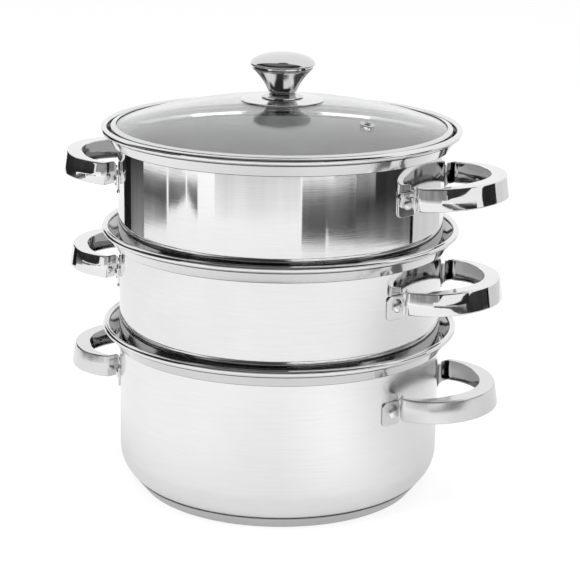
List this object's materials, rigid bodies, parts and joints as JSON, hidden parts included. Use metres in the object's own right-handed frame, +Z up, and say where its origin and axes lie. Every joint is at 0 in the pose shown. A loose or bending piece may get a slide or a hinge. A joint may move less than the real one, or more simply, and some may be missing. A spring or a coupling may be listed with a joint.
{
  "type": "momo steamer",
  "caption": "Stainless-steel steamer set: a loop-handled pot, perforated tiers that nest in its stepped rim, and a domed glass lid with a steel knob and steam vent.",
  "frame": {"origin": "centre of the underside of the pot's base, on the surface it stands on", "axes": "+Z up along the axis of the stack, +X through the pot's right-hand handle as pictured"},
  "size_m": [0.3724, 0.2898, 0.358],
  "materials": {
    "pot_steel": "polished with fine turning lines",
    "tier_steel": "polished with fine turning lines",
    "base_cap_steel": "satin",
    "base_core_aluminium": "matt",
    "handle_steel": "mirror polished",
    "rivet_steel": "polished",
    "lid_glass": "clear",
    "band_steel": "mirror polished",
    "vent_steel": "polished",
    "plate_steel": "polished",
    "foot_steel": "polished",
    "cone_steel": "polished",
    "cap_steel": "polished",
    "washer_rubber": "matt",
    "screw_steel": "satin"
  },
  "bodies": {
    "pot": {"pot_shell": "pot_steel", "pot_base_cap": "base_cap_steel", "pot_base_core": "base_core_aluminium", "pot_handle_right": "handle_steel", "pot_handle_left": "handle_steel", "pot_rivet_right_front": "rivet_steel", "pot_rivet_right_back": "rivet_steel", "pot_rivet_left_front": "rivet_steel", "pot_rivet_left_back": "rivet_steel"},
    "lower_steamer": {"lower_steamer_shell": "tier_steel", "lower_steamer_handle_right": "handle_steel", "lower_steamer_handle_left": "handle_steel", "lower_steamer_rivet_right_front": "rivet_steel", "lower_steamer_rivet_right_back": "rivet_steel", "lower_steamer_rivet_left_front": "rivet_steel", "lower_steamer_rivet_left_back": "rivet_steel"},
    "upper_steamer": {"upper_steamer_shell": "tier_steel", "upper_steamer_handle_right": "handle_steel", "upper_steamer_handle_left": "handle_steel", "upper_steamer_rivet_right_front": "rivet_steel", "upper_steamer_rivet_right_back": "rivet_steel", "upper_steamer_rivet_left_front": "rivet_steel", "upper_steamer_rivet_left_back": "rivet_steel"},
    "lid": {"lid_glass": "lid_glass", "lid_rim_band": "band_steel", "steam_vent_eyelet": "vent_steel", "knob_plate": "plate_steel", "knob_foot": "foot_steel", "knob_cone": "cone_steel", "knob_cap": "cap_steel", "knob_washer": "washer_rubber", "knob_screw": "screw_steel"}
  },
  "joints": [
    {"name": "lower_steamer_lift", "type": "slide", "parent": "pot", "child": "lower_steamer", "axis": [0, 0, 1], "range_m": [0, 0.12]},
    {"name": "upper_steamer_lift", "type": "slide", "parent": "lower_steamer", "child": "upper_steamer", "axis": [0, 0, 1], "range_m": [0, 0.12]},
    {"name": "lid_lift", "type": "slide", "parent": "upper_steamer", "child": "lid", "axis": [0, 0, 1], "range_m": [0, 0.12]}
  ]
}
